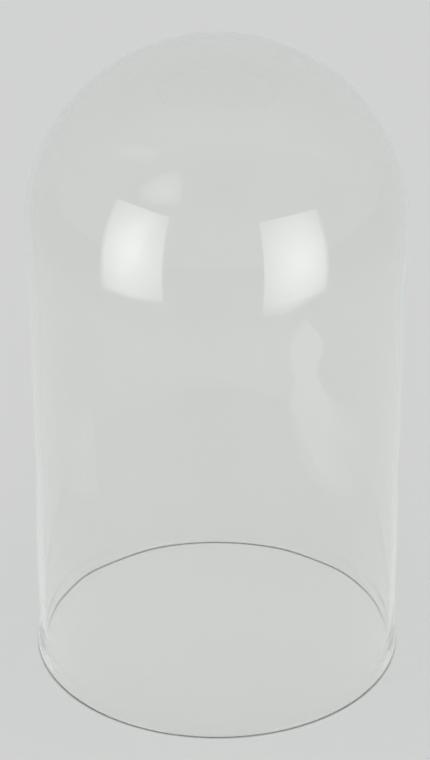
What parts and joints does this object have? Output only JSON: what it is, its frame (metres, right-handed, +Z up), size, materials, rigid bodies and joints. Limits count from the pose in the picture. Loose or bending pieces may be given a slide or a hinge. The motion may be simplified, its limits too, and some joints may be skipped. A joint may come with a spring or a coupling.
{
  "type": "bell jar dome",
  "caption": "Clear blown-glass bell jar dome: tall round wall with a hemispherical closed crown and an open mouth with a slightly flared, polished rim.",
  "frame": {"origin": "centre of the open mouth, in the plane that the rim rests on", "axes": "+Z up along the axis of revolution, from the mouth to the crown"},
  "size_m": [0.2299, 0.23, 0.4],
  "materials": {
    "clear_glass": "clear, polished, with a faint green-blue tint at the edges"
  },
  "bodies": {
    "root": {"glass_dome": "clear_glass"}
  },
  "joints": []
}
